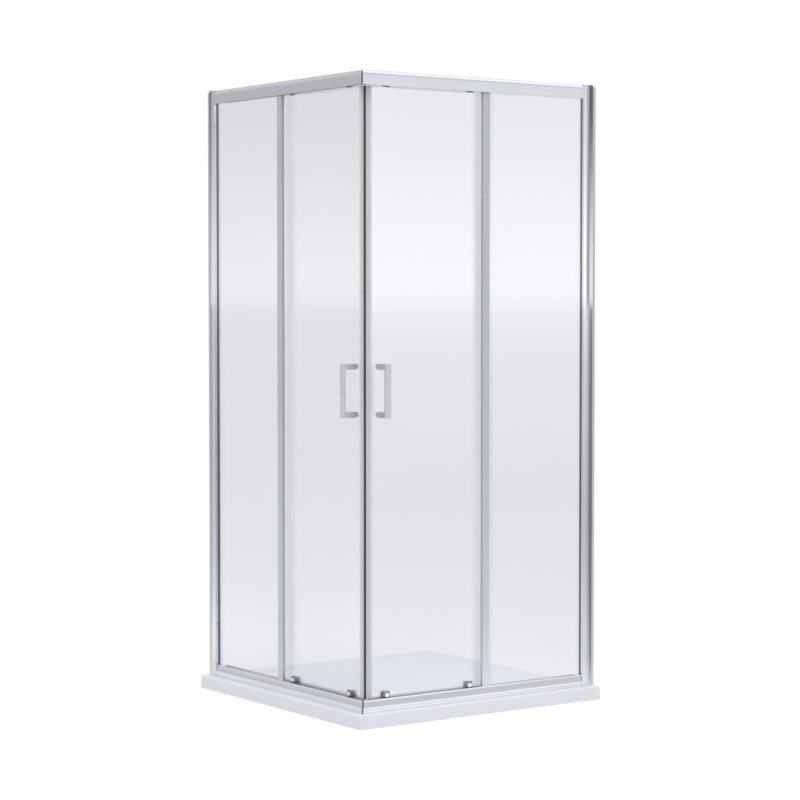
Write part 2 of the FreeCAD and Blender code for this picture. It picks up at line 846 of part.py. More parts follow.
def lower_roller_body(u):
    """A lower roller's housing, hollow for the button, and its axle."""
    half = lower_body_width / 2
    low = lower_axle_height - lower_body_height / 2
    high = lower_axle_height + lower_body_height / 2
    start = roller_front_face + bezel_thickness
    shell = box(u - half, u + half, start, door_glass_front, low, high)
    shell = shell.makeFillet(roller_edge_round, edges_along(shell, Vector(0, 1, 0)))
    reach = pocket_width / 2
    pocket = box(u - reach, u + reach, start - cut_overrun, pocket_end(),
                 lower_axle_height - reach, lower_axle_height + reach)
    return fuse_all([shell.cut(pocket), axle(u, lower_axle_height)])


def lower_roller_bezel(u):
    """The frame on a lower roller's housing that keeps the button in."""
    half = lower_body_width / 2
    low = lower_axle_height - lower_body_height / 2
    end = roller_front_face + bezel_thickness
    plate = box(u - half, u + half, roller_front_face, end, low, low + lower_body_height)
    plate = plate.makeFillet(roller_edge_round, edges_along(plate, Vector(0, 1, 0)))
    reach = button_width / 2 + button_clearance
    window = box(u - reach, u + reach, roller_front_face - cut_overrun, end + cut_overrun,
                 lower_axle_height - reach, lower_axle_height + reach)
    return plate.cut(window)


def button_flange_front():
    """Where the button's flange begins behind the bezel."""
    return roller_front_face + bezel_thickness + button_clearance


def pocket_end():
    """Where the housing's pocket ends: room for the flange, the button's travel and the flat spring."""
    return button_flange_front() + button_flange_thickness + button_travel + button_end_room


def release_button(u):
    """The sprung button on a lower roller, with a flange behind the bezel."""
    half = button_width / 2
    reach = button_flange_width / 2
    z = lower_axle_height
    flange_start = button_flange_front()
    pad = box(u - half, u + half, roller_front_face - button_stand_out, flange_start, z - half, z + half)
    front_edges = [edge for edge in pad.Edges if edge.BoundBox.YMax < roller_front_face]
    pad = pad.makeFillet(button_edge_round, front_edges)
    flange_end = flange_start + button_flange_thickness
    flange = box(u - reach, u + reach, flange_start, flange_end, z - reach, z + reach)
    return fuse_all([pad, flange])


def release_spring(u):
    """An arched leaf spring between the button and the pocket's floor."""
    half = spring_length / 2
    foot = pocket_end() - spring_clearance
    crown = button_flange_front() + button_flange_thickness + spring_clearance
    low = lower_axle_height - spring_width / 2
    inner = foot - spring_thickness
    start = Vector(u - half, foot, low)
    steps = [Vector(u - half, inner, low),
             (Vector(u, crown, low), Vector(u + half, inner, low)),
             Vector(u + half, foot, low),
             (Vector(u, crown + spring_thickness, low), start)]
    return face_from(start, steps).extrude(Vector(0, 0, spring_width))


def upper_wheel(u):
    """A plain wheel that runs on the top rail's lip."""
    start = Vector(u, wheel_start, upper_axle_height)
    end = Vector(u, wheel_end, upper_axle_height)
    tyre = rod(upper_wheel_radius, start, end)
    rims = [edge for edge in tyre.Edges if edge.Curve.TypeId == "Part::GeomCircle"]
    tyre = tyre.makeFillet(wheel_edge_round, rims)
    return tyre.cut(rod(axle_radius + axle_clearance, start, end))


def lower_wheel(u):
    """A grooved wheel that runs on the bottom rail's rib."""
    start = Vector(u, wheel_start, lower_axle_height)
    end = Vector(u, wheel_end, lower_axle_height)
    half = track_rib_thickness / 2 + running_gap
    groove_start = Vector(u, wheel_middle - half, lower_axle_height)
    groove_end = Vector(u, wheel_middle + half, lower_axle_height)
    groove = rod(lower_wheel_radius + cut_overrun, groove_start, groove_end)
    groove = groove.cut(rod(groove_radius, groove_start, groove_end))
    wheel = rod(lower_wheel_radius, start, end)
    return cut_all(wheel, [groove, rod(axle_radius + axle_clearance, start, end)])


def handle():
    """A square handle: an upright bar on two arms that stand off the pane."""
    left = handle_centre_u - handle_width / 2
    low = handle_centre_height - handle_height / 2
    high = handle_centre_height + handle_height / 2
    seat = door_glass_front - handle_washer_thickness
    grip_back = handle_front + handle_bar_thickness
    chamfer_start = seat - handle_end_chamfer
    upper_arm = high - handle_arm_height
    lower_arm = low + handle_arm_height
    start = Vector(left, handle_front, low)
    points = [Vector(left, handle_front, high),
              Vector(left, seat, high),
              Vector(left, seat, upper_arm + handle_end_chamfer),
              Vector(left, chamfer_start, upper_arm),
              Vector(left, grip_back, upper_arm),
              Vector(left, grip_back, lower_arm),
              Vector(left, seat, lower_arm),
              Vector(left, seat, low + handle_end_chamfer),
              Vector(left, chamfer_start, low)]
    grip = face_from(start, points).extrude(Vector(handle_width, 0, 0))
    soft_edges = [edge for edge in grip.Edges if edge.BoundBox.YMin < chamfer_start]
    grip = grip.makeFillet(handle_edge_round, soft_edges)
    holes = []
    for z in handle_bolt_heights():
        deep = seat - handle_bolt_reach - handle_bolt_end_gap
        hole_start = Vector(handle_centre_u, deep, z)
        hole_end = Vector(handle_centre_u, seat, z)
        holes.append(rod(handle_bolt_radius + handle_bolt_clearance, hole_start, hole_end))
    return cut_all(grip, holes)


def handle_washers():
    """The soft washers between handle, bolt heads and pane."""
    rings = []
    for z in handle_bolt_heights():
        for v in (door_glass_front - handle_washer_thickness, door_glass_back):
            start = Vector(handle_centre_u, v, z)
            end = start + Vector(0, handle_washer_thickness, 0)
            hole = rod(handle_bolt_radius + handle_bolt_clearance, start, end)
            rings.append(rod(handle_washer_radius, start, end).cut(hole))
    return rings


def handle_bolts():
    """The bolts through the pane into a handle's arms, heads inside the cabin."""
    bolts = []
    for z in handle_bolt_heights():
        seat = Vector(handle_centre_u, door_glass_back + handle_washer_thickness, z)
        end = Vector(handle_centre_u, door_glass_front - handle_washer_thickness - handle_bolt_reach, z)
        head = rod(handle_bolt_head_radius, seat, seat + Vector(0, handle_bolt_head_height, 0))
        bolts.append(fuse_all([head, rod(handle_bolt_radius, end, seat)]))
    return bolts


def side_nodes():
    """The pieces of one side that have a node of their own on each side."""
    bushes = [roller_bush(u, z) for u in roller_places() for z in (upper_axle_height, lower_axle_height)]
    housings = [lower_roller_body(u) for u in roller_places()]
    housings += [lower_roller_bezel(u) for u in roller_places()]
    return {
        "wall_channel": wall_channel(),
        "side_post": side_post(),
        "fixed_glass": fixed_glass(),
        "fixed_edge_profile": fixed_edge_profile(),
        "top_rail": top_rail(),
        "bottom_rail": bottom_rail(),
        "door_glass": door_glass(),
        "door_leading_seal": leading_seal(),
        "door_magnet_strip": magnet_strip(),
        "door_trailing_seal": trailing_seal(),
        "door_handle": handle(),
        "handle_washers": Part.makeCompound(handle_washers()),
        "handle_bolts": Part.makeCompound(handle_bolts()),
        "roller_bushes": Part.makeCompound(bushes),
        "upper_roller_caps": Part.makeCompound([upper_roller(u) for u in roller_places()]),
        "lower_roller_housings": Part.makeCompound(housings),
        "release_springs": Part.makeCompound([release_spring(u) for u in roller_places()]),
        "upper_wheel_front": upper_wheel(roller_front),
        "upper_wheel_rear": upper_wheel(roller_rear),
        "lower_wheel_front": lower_wheel(roller_front),
        "lower_wheel_rear": lower_wheel(roller_rear),
        "release_button_front": release_button(roller_front),
        "release_button_rear": release_button(roller_rear),
    }


def shared_nodes():
    """The pieces of one side that share a node with their mirror images."""
    levels = ("top", "bottom")
    screws = [rail_screw(place, level) for level in levels for place in rail_screw_places(level)]
    screws += [post_hold_screw(z) for level in levels for z in post_hold_heights(level)]
    return {
        "post_caps": [post_cap()],
        "post_gaskets": [post_gasket()],
        "rail_gaskets": [rail_gasket(level) for level in levels],
        "rail_end_brackets": [rail_end_bracket(level) for level in levels],
        "rail_screws": screws,
        "post_screws": [post_screw(z) for z in post_screw_heights()],
        "door_stops": [door_stop(level) for level in levels],
    }


def all_nodes():
    """Every node by name, in the row frame."""
    nodes = {}
    for name, shape in side_nodes().items():
        nodes[name + "_right"] = shape
        nodes[name + "_left"] = other_side(shape)
    for name, shapes in shared_nodes().items():
        mirrored = [other_side(shape) for shape in shapes]
        nodes[name] = Part.makeCompound(shapes + mirrored)
    nodes["top_corner_connector"] = corner_connector("top")
    nodes["bottom_corner_connector"] = corner_connector("bottom")
    for shape in nodes.values():
        shape.translate(corner)
    nodes["shower_tray"] = shower_tray()
    nodes["waste_flange"] = waste_flange()
    nodes["waste_cover"] = waste_cover()
    return nodes


os.makedirs("parts", exist_ok=True)
for node, shape in all_nodes().items():
    shape.exportStep("parts/" + node + ".step")
    print(node, len(shape.Solids), shape.isValid(), round(shape.Volume))
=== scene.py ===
import logging
import math
from dataclasses import dataclass
from enum import Enum
from typing import Callable

import bpy
from mathutils import Matrix, Vector


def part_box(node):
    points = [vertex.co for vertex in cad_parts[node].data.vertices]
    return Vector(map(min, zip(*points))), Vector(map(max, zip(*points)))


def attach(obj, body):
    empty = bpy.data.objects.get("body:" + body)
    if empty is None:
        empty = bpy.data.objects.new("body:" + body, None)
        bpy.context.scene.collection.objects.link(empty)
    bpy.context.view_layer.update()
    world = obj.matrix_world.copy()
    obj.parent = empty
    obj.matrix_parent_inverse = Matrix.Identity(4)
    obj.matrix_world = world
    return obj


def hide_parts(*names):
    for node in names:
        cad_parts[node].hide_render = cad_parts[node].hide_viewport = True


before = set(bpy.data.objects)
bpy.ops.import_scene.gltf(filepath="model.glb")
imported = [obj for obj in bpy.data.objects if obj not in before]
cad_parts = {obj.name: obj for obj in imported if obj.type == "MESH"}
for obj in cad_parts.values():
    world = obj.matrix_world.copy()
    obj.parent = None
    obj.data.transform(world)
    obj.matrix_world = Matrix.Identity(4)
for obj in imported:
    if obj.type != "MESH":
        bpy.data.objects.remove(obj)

LOG = logging.getLogger("shower_enclosure")
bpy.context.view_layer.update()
QUARTER_TURN = math.pi / 2
Colour = tuple[float, float, float]
Place = tuple[float, float, float]
WHITE: Colour = (1.0, 1.0, 1.0)


class Axis(Enum):
    """The way a piece runs, and so the way its draw lines run."""

    X = 0
    Y = 1
    Z = 2


class Side(Enum):
    """The enclosure's two glazed faces, each with the axis that it runs along and the one it faces."""

    RIGHT = ("right", Axis.X, Axis.Y)
    LEFT = ("left", Axis.Y, Axis.X)

    @property
    def label(self) -> str:
        """The word at the end of this side's node names."""
        return self.value[0]

    @property
    def run(self) -> Axis:
        """The axis along this side's rails."""
        return self.value[1]

    @property
    def facing(self) -> Axis:
        """The axis square to this side's panes."""
        return self.value[2]

    @property
    def inward(self) -> Matrix:
        """The turn that carries a piece made along Z to point into the cabin from this side."""
        angle, axis = (-QUARTER_TURN, "X") if self is Side.RIGHT else (QUARTER_TURN, "Y")
        return Matrix.Rotation(angle, 4, axis)

    def spot(self, run: float, inward: float, height: float) -> Vector:
        """A place given along this side, inward from it, and up."""
        return Vector((run, inward, height) if self is Side.RIGHT else (inward, run, height))


class Drive(Enum):
    """The recess in a fastener's head, by its number of corners or arms."""

    CROSS = 4
    HEX = 6


class NodeDesk:
    """A node tree with short calls to add nodes and join them."""

    # Where fine noise mostly lies, and where broad noise does
    FINE_SPAN = (0.3, 0.7)
    BROAD_SPAN = (0.35, 0.65)

    def __init__(self, tree: bpy.types.NodeTree) -> None:
        """Takes a tree and clears it.

        Args:
            tree: The node tree to fill.
        """
        self.tree = tree
        tree.nodes.clear()

    def add(self, kind: str, inputs: dict | None = None, **settings: object) -> bpy.types.Node:
        """Adds one node.

        Args:
            kind: The node's type name without the ShaderNode in front.
            inputs: Input name or number to a value, or to an output socket that feeds it.
            settings: Properties of the node itself.

        Returns:
            The new node.
        """
        node = self.tree.nodes.new("ShaderNode" + kind)
        for name, value in settings.items():
            setattr(node, name, value)
        for name, value in (inputs or {}).items():
            if isinstance(value, bpy.types.NodeSocket):
                self.tree.links.new(value, node.inputs[name])
            elif self.is_colour(node, name, value):
                node.inputs[name].default_value = (*value, 1.0)
            else:
                node.inputs[name].default_value = value
        return node

    @staticmethod
    def is_colour(node: bpy.types.Node, name: str | int, value: object) -> bool:
        """True where a colour of three numbers meets a socket of four."""
        return isinstance(value, tuple) and len(value) == 3 and node.inputs[name].type == "RGBA"

    def math(self, operation: str, *values: object) -> bpy.types.NodeSocket:
        """One sum of one to three values or sockets.

        Args:
            operation: The math node's operation.
            values: Its operands.

        Returns:
            The result's socket.
        """
        return self.add("Math", dict(enumerate(values)), operation=operation).outputs[0]

    def parts(self, vector: bpy.types.NodeSocket) -> list[bpy.types.NodeSocket]:
        """A vector's parts along X, Y and Z."""
        return list(self.add("SeparateXYZ", {0: vector}).outputs)

    def length(self, vector: bpy.types.NodeSocket) -> bpy.types.NodeSocket:
        """A vector's length."""
        return self.add("VectorMath", {0: vector}, operation="LENGTH").outputs["Value"]

    def ramp(self, value: bpy.types.NodeSocket, low: float, high: float, start: float, end: float,
             smooth: bool = False) -> bpy.types.NodeSocket:
        """Carries a value from one range over to another, held at its ends.

        Args:
            value: What is carried over.
            low: Where the first range starts.
            high: Where the first range ends.
            start: What low becomes.
            end: What high becomes.
            smooth: Whether the way between eases in and out.

        Returns:
            The new value's socket.
        """
        inputs = {0: value, 1: low, 2: high, 3: start, 4: end}
        kind = "SMOOTHSTEP" if smooth else "LINEAR"
        return self.add("MapRange", inputs, interpolation_type=kind).outputs[0]

    def fine(self, noise: bpy.types.NodeSocket, start: float = 0.0,
             end: float = 1.0) -> bpy.types.NodeSocket:
        """Fine noise spread from where it mostly lies over a whole range."""
        return self.ramp(noise, *self.FINE_SPAN, start, end)

    def broad(self, noise: bpy.types.NodeSocket) -> bpy.types.NodeSocket:
        """Broad noise spread from where it mostly lies over 0 to 1."""
        return self.ramp(noise, *self.BROAD_SPAN, 0.0, 1.0)

    def lean(self, share: bpy.types.NodeSocket, first: bpy.types.NodeSocket,
             second: float) -> bpy.types.NodeSocket:
        """A value that moves towards a second one by a share of the way."""
        return self.math("MULTIPLY_ADD", share, self.math("SUBTRACT", second, first), first)

    def stops(self, value: bpy.types.NodeSocket, levels: dict[float, float]) -> bpy.types.NodeSocket:
        """Carries a value over to levels that ease from one stop to the next.

        Args:
            value: What is carried over, from 0 to 1.
            levels: The stops' places, each with its level.

        Returns:
            The level's socket.
        """
        node = self.add("ValToRGB", {0: value})
        node.color_ramp.interpolation = "EASE"
        marks = node.color_ramp.elements
        for number, (place, level) in enumerate(levels.items()):
            mark = marks[number] if number < len(marks) else marks.new(place)
            mark.position, mark.color = place, (level, level, level, 1.0)
        return node.outputs[0]

    def blend(self, share: object, first: object, second: object) -> bpy.types.NodeSocket:
        """Mixes two colours.

        Args:
            share: How much of the second colour there is.
            first: A colour or socket.
            second: A colour or socket.

        Returns:
            The mixed colour's socket.
        """
        return self.add("Mix", {0: share, 6: first, 7: second}, data_type="RGBA").outputs[2]

    def spot(self) -> bpy.types.NodeSocket:
        """The place on the piece, in Object coordinates."""
        return self.add("TexCoord").outputs["Object"]

    def noise(self, scale: tuple[float, float, float], detail: float = 2.0) -> bpy.types.NodeSocket:
        """Even noise on Object coordinates.

        Args:
            scale: Grains per metre along each axis.
            detail: How many finer layers are added.

        Returns:
            The noise value's socket.
        """
        mapped = self.add("Mapping", {"Vector": self.spot(), "Scale": scale}).outputs[0]
        return self.add("TexNoise", {"Vector": mapped, "Scale": 1.0, "Detail": detail}).outputs[0]

    def bump(self, height: bpy.types.NodeSocket, depth: float) -> bpy.types.NodeSocket:
        """A normal that follows a height, whose 1 is depth in metres."""
        return self.add("Bump", {"Height": height, "Distance": depth, "Strength": 1.0}).outputs[0]


@dataclass(frozen=True)
class Finish:
    """What all finishes share: a name, and a material made once."""

    name: str

    def material(self) -> bpy.types.Material:
        """The finish's material, made on its first use.

        Returns:
            The material.
        """
        made = bpy.data.materials.get(self.name)
        if made is None:
            made = bpy.data.materials.new(self.name)
            made.use_nodes = True
            desk = NodeDesk(made.node_tree)
            desk.add("OutputMaterial", {"Surface": self.surface(desk)})
        return made

    def surface(self, desk: NodeDesk) -> bpy.types.NodeSocket:
        """The finish's shader; each kind of finish has its own."""
        raise NotImplementedError

    def put_on(self, piece: bpy.types.Object) -> None:
        """Gives a piece this finish in each of its material slots.

        Args:
            piece: The piece.
        """
        if not piece.data.materials:
            piece.data.materials.append(self.material())
        for slot in piece.material_slots:
            slot.material = self.material()


@dataclass(frozen=True)
class DrawnMetal(Finish):
    """Extruded metal with fine draw lines along one axis."""

    colour: Colour
    worn_colour: Colour
    smooth: float
    rough: float
    line_depth: float
    axis: Axis
    lines_per_metre: float = 1600.0
    along_per_metre: float = 3.0
    clouds_per_metre: float = 7.0

    def surface(self, desk: NodeDesk) -> bpy.types.NodeSocket:
        """Metal whose roughness and height follow the draw lines.

        Args:
            desk: The material's tree.

        Returns:
            The shader's socket.
        """
        scale = [self.lines_per_metre] * 3
        scale[self.axis.value] = self.along_per_metre
        lines = desk.noise(tuple(scale), detail=3.0)
        clouds = desk.noise((self.clouds_per_metre,) * 3, detail=1.0)
        low, high = (2 * end for end in desk.BROAD_SPAN)
        tone = desk.ramp(desk.math("ADD", lines, clouds), low, high, 0.0, 1.0)
        return desk.add("BsdfPrincipled", {
            "Base Color": desk.blend(tone, self.worn_colour, self.colour),
            "Metallic": 1.0,
            "Roughness": desk.fine(lines, self.smooth, self.rough),
            "Normal": desk.bump(lines, self.line_depth),
        }).outputs[0]


@dataclass(frozen=True)
class RailMetal(DrawnMetal):
    """Polished rail metal that is left pale and matt inside, behind its show faces."""

    facing: Axis = Axis.Y
    inside_from: float = -0.413
    inside_step: float = 0.001
    inside_colour: Colour = (0.90, 0.905, 0.915)
    inside_shade: float = 0.94
    inside_metallic: float = 0.15
    inside_rough: tuple[float, float] = (0.37, 0.47)
    haze_per_metre: float = 40.0

    def surface(self, desk: NodeDesk) -> bpy.types.NodeSocket:
        """The show faces' metal in front and a matt one behind.

        Args:
            desk: The material's tree.

        Returns:
            The shader's socket.
        """
        depth = desk.parts(desk.spot())[self.facing.value]
        inside = desk.ramp(depth, self.inside_from, self.inside_from + self.inside_step, 0.0, 1.0)
        show = super().surface(desk)
        haze = desk.noise((self.haze_per_metre,) * 3, detail=3.0)
        shaded = tuple(self.inside_shade * part for part in self.inside_colour)
        plain = desk.add("BsdfPrincipled", {
            "Base Color": desk.blend(haze, shaded, self.inside_colour),
            "Metallic": self.inside_metallic,
            "Roughness": desk.fine(haze, *self.inside_rough),
        }).outputs[0]
        return desk.add("MixShader", {0: inside, 1: show, 2: plain}).outputs[0]


@dataclass(frozen=True)
class BrightPlate(Finish):
    """Plated or polished metal with a faint ripple under its shine."""

    colour: Colour
    smooth: float
    rough: float
    ripple: float
    haze_per_metre: float = 60.0
    dull_share: float = 0.93

    def surface(self, desk: NodeDesk) -> bpy.types.NodeSocket:
        """Mirror-like metal with hardly any haze.

        Args:
            desk: The material's tree.

        Returns:
            The shader's socket.
        """
        haze = desk.noise((self.haze_per_metre,) * 3, detail=4.0)
        dull = tuple(self.dull_share * part for part in self.colour)
        return desk.add("BsdfPrincipled", {
            "Base Color": desk.blend(desk.fine(haze), dull, self.colour),
            "Metallic": 1.0,
            "Roughness": desk.fine(haze, self.smooth, self.rough),
            "Normal": desk.bump(haze, self.ripple),
        }).outputs[0]


@dataclass(frozen=True)
class ClearGlass(Finish):
    """Toughened clear glass: see-through faces that mirror a little, and green edges."""

    tint: Colour
    edge_tint: Colour
    mirror: float
    facing: Axis
    softness: float = 0.055
    face_from: float = 0.5
    film_per_metre: tuple[float, float, float] = (1.7, 1.7, 0.9)
    film_lift: float = 1.006
    even_slant: float = 0.5
    slant_power: float = 5.0

    def surface(self, desk: NodeDesk) -> bpy.types.NodeSocket:
        """A thin see-through sheet that mirrors as glass does and lets the room's light in.

        Args:
            desk: The material's tree.

        Returns:
            The shader's socket.
        """
        normal = desk.parts(desk.add("NewGeometry").outputs["Normal"])[self.facing.value]
        face = desk.math("GREATER_THAN", desk.math("ABSOLUTE", normal), self.face_from)
        film = desk.broad(desk.noise(self.film_per_metre, detail=1.0))
        paler = tuple(self.film_lift * part for part in self.tint)
        body = desk.blend(face, self.edge_tint, desk.blend(film, self.tint, paler))
        turned = desk.add("LayerWeight", {"Blend": self.even_slant}).outputs["Facing"]
        slant = desk.math("POWER", turned, self.slant_power)
        share = desk.math("MULTIPLY_ADD", slant, 1.0 - self.mirror, self.mirror)
        through = desk.add("BsdfTransparent", {"Color": body}).outputs[0]
        gloss = desk.add("BsdfGlossy", {"Color": WHITE, "Roughness": self.softness}).outputs[0]
        pane = desk.add("MixShader", {0: share, 1: through, 2: gloss}).outputs[0]
        path = desk.add("LightPath").outputs
        lighting = desk.math("MAXIMUM", path["Is Shadow Ray"], path["Is Diffuse Ray"])
        clear = desk.add("BsdfTransparent", {"Color": WHITE}).outputs[0]
        return desk.add("MixShader", {0: lighting, 1: pane, 2: clear}).outputs[0]


@dataclass(frozen=True)
class ClearVinyl(Finish):
    """Soft clear plastic, a little cloudy, as in pressed-on door seals."""

    tint: Colour
    cloud: Colour
    cloudiness: float
    roughness: float
    cloud_change: float = 0.05
    streaks_per_metre: tuple[float, float, float] = (90.0, 90.0, 1.5)
    streak_depth: float = 0.0002
    bending: float = 1.53

    def surface(self, desk: NodeDesk) -> bpy.types.NodeSocket:
        """See-through plastic mixed with a cloudy glossy one.

        Args:
            desk: The material's tree.

        Returns:
            The shader's socket.
        """
        streak = desk.noise(self.streaks_per_metre)
        share = desk.fine(streak, self.cloudiness - self.cloud_change, self.cloudiness + self.cloud_change)
        skin = desk.add("BsdfPrincipled", {
            "Base Color": self.cloud,
            "Roughness": self.roughness,
            "IOR": self.bending,
            "Normal": desk.bump(streak, self.streak_depth),
        }).outputs[0]
        through = desk.add("BsdfTransparent", {"Color": self.tint}).outputs[0]
        return desk.add("MixShader", {0: share, 1: through, 2: skin}).outputs[0]


@dataclass(frozen=True)
class Moulding(Finish):
    """Moulded plastic or rubber with a fine even grain."""

    colour: Colour
    second_colour: Colour
    smooth: float
    rough: float
    grain_per_metre: float
    grain_depth: float
    clouds_per_metre: float = 25.0

    def surface(self, desk: NodeDesk) -> bpy.types.NodeSocket:
        """A coloured body whose roughness and height follow its grain.

        Args:
            desk: The material's tree.

        Returns:
            The shader's socket.
        """
        grain = desk.noise((self.grain_per_metre,) * 3, detail=3.0)
        tone = desk.broad(desk.noise((self.clouds_per_metre,) * 3))
        return desk.add("BsdfPrincipled", {
            "Base Color": desk.blend(tone, self.colour, self.second_colour),
            "Roughness": desk.fine(grain, self.smooth, self.rough),
            "Normal": desk.bump(grain, self.grain_depth),
        }).outputs[0]


@dataclass(frozen=True)
class TrayGlaze(Finish):
    """The tray's white glossy skin, with a fine stipple and painted shade on its sunken floor."""

    colour: Colour
    second_colour: Colour
    # The sunken floor's colour is a little darker and bluer than the rim's: painted shade for the recess.
    floor_colour: Colour
    smooth: float
    rough: float
    recess_reach: float
    rim_height: float
    stipple_per_metre: float
    stipple_depth: float
    recess_edge: float = 0.005
    rim_edge: float = 0.004
    ripples_per_metre: float = 9.0
    floor_dullness: float = 0.18
    shine: float = 0.4

    def surface(self, desk: NodeDesk) -> bpy.types.NodeSocket:
        """White resin, glossy on the rim and stippled where feet stand.

        Args:
            desk: The material's tree.

        Returns:
            The shader's socket.
        """
        across, along, height = desk.parts(desk.spot())
        out = desk.math("MAXIMUM", desk.math("ABSOLUTE", across), desk.math("ABSOLUTE", along))
        within = desk.ramp(out, self.recess_reach, self.recess_reach + self.recess_edge, 1.0, 0.0)
        below = desk.ramp(height, self.rim_height - self.rim_edge, self.rim_height, 1.0, 0.0)
        sunk = desk.math("MULTIPLY", within, below)
        grain = desk.noise((self.stipple_per_metre,) * 3, detail=1.0)
        ripple = desk.noise((self.ripples_per_metre,) * 3, detail=1.0)
        rim = desk.blend(desk.broad(ripple), self.colour, self.second_colour)
        dull = desk.math("MULTIPLY", sunk, self.floor_dullness)
        # Where the floor is sunk it takes the darker floor colour, which is painted shade.
        return desk.add("BsdfPrincipled", {
            "Base Color": desk.blend(sunk, rim, self.floor_colour),
            "Roughness": desk.math("ADD", desk.fine(ripple, self.smooth, self.rough), dull),
            "Specular IOR Level": self.shine,
            "Normal": desk.bump(desk.math("MULTIPLY", grain, sunk), self.stipple_depth),
        }).outputs[0]


class Palette:
    """Finishes that follow the way a piece runs or faces."""

    POLISH = {"colour": (0.815, 0.835, 0.885), "worn_colour": (0.785, 0.805, 0.855),
              "smooth": 0.03, "rough": 0.07, "line_depth": 0.0000006}
    SATIN = {"colour": (0.775, 0.795, 0.83), "worn_colour": (0.725, 0.745, 0.78),
             "smooth": 0.54, "rough": 0.62, "line_depth": 0.000003}
    GLASS = {"tint": (0.903, 0.910, 0.926), "edge_tint": (0.70, 0.78, 0.76), "mirror": 0.19}

    @staticmethod
    def polished(axis: Axis) -> DrawnMetal:
        """Bright polished aluminium of the posts and their caps."""
        return DrawnMetal(f"polished_metal_{axis.name.lower()}", axis=axis, **Palette.POLISH)

    @staticmethod
    def rail(side: Side) -> RailMetal:
        """Bright polished aluminium of one side's rails, plain inside."""
        return RailMetal(f"rail_metal_{side.label}", axis=side.run, facing=side.facing, **Palette.POLISH)

    @staticmethod
    def satin(axis: Axis) -> DrawnMetal:
        """Satin aluminium of wall channels and edge profiles."""
        return DrawnMetal(f"satin_metal_{axis.name.lower()}", axis=axis, **Palette.SATIN)

    @staticmethod
    def glass(side: Side) -> ClearGlass:
        """Clear toughened glass of one side's panes."""
        return ClearGlass(f"toughened_glass_{side.label}", facing=side.facing, **Palette.GLASS)


CHROME = BrightPlate("chrome_plate", (0.90, 0.905, 0.915), smooth=0.03, rough=0.08, ripple=0.00001)
GREY_CHROME = BrightPlate("grey_chrome", (0.68, 0.69, 0.71), smooth=0.08, rough=0.16, ripple=0.00001)
# Painted shade: this chrome's colour is made dark to stand for the dark surroundings that the lower roller
# housings mirror.
SHADE_PAINTED_CHROME = BrightPlate("chrome_with_painted_shade", (0.31, 0.32, 0.34), smooth=0.08, rough=0.16, ripple=0.00001)
HANDLE_CHROME = BrightPlate("matt_chrome", (0.84, 0.855, 0.88), smooth=0.40, rough=0.48, ripple=0.00001)
STEEL = BrightPlate("plain_steel", (0.66, 0.66, 0.655), smooth=0.18, rough=0.30, ripple=0.00002)
CAST_METAL = BrightPlate("cast_metal", (0.40, 0.41, 0.43), smooth=0.30, rough=0.42, ripple=0.00002)
VINYL = ClearVinyl("clear_vinyl", tint=(0.99, 0.99, 0.992), cloud=(0.92, 0.925, 0.94),
                   cloudiness=0.08, roughness=0.22)
CLOUDY_VINYL = ClearVinyl("cloudy_vinyl", tint=(0.92, 0.925, 0.93), cloud=(0.86, 0.865, 0.88),
                          cloudiness=0.62, roughness=0.25)
MAGNET = Moulding("magnet_rubber", (0.066, 0.060, 0.056), (0.080, 0.073, 0.068),
                  smooth=0.40, rough=0.55, grain_per_metre=900.0, grain_depth=0.00003)
RUBBER = Moulding("dark_rubber", (0.040, 0.040, 0.042), (0.055, 0.055, 0.058),
                  smooth=0.50, rough=0.65, grain_per_metre=1200.0, grain_depth=0.00004)
PALE_RUBBER = Moulding("pale_rubber", (0.60, 0.605, 0.615), (0.64, 0.645, 0.655),
                       smooth=0.50, rough=0.65, grain_per_metre=1200.0, grain_depth=0.00004)
GREY_PLASTIC = Moulding("grey_moulding", (0.36, 0.365, 0.37), (0.40, 0.405, 0.41),
                        smooth=0.30, rough=0.42, grain_per_metre=700.0, grain_depth=0.00003)
NYLON = Moulding("white_nylon", (0.78, 0.78, 0.76), (0.84, 0.84, 0.82),
                 smooth=0.30, rough=0.40, grain_per_metre=500.0, grain_depth=0.00003)
# Its floor colour is set darker and bluer than the rim as painted shade in the recess.
TRAY_WHITE = TrayGlaze("white_resin", (0.915, 0.925, 0.985), (0.925, 0.935, 0.99),
                       floor_colour=(0.90, 0.915, 0.965), smooth=0.30, rough=0.37, recess_reach=0.37,
                       rim_height=0.0398, stipple_per_metre=450.0, stipple_depth=0.0004)


def dress(finish: Finish, *names: str) -> None:
    """Gives CAD nodes a finish.

    Args:
        finish: The finish.
        names: The nodes' names.
    """
    for name in names:
        finish.put_on(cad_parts[name])
        LOG.info("dressed %s in %s", name, finish.name)


def stand_for(piece: bpy.types.Object, node: str, body: str, finish: Finish) -> None:
    """Puts a modelled piece in the place of a CAD node.

    Args:
        piece: The modelled piece.
        node: The node that it stands for.
        body: The body that it moves with.
        finish: What it is dressed in.
    """
    finish.put_on(piece)
    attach(piece, body)
    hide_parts(node)
    LOG.info("modelled %s in place of %s", piece.name, node)


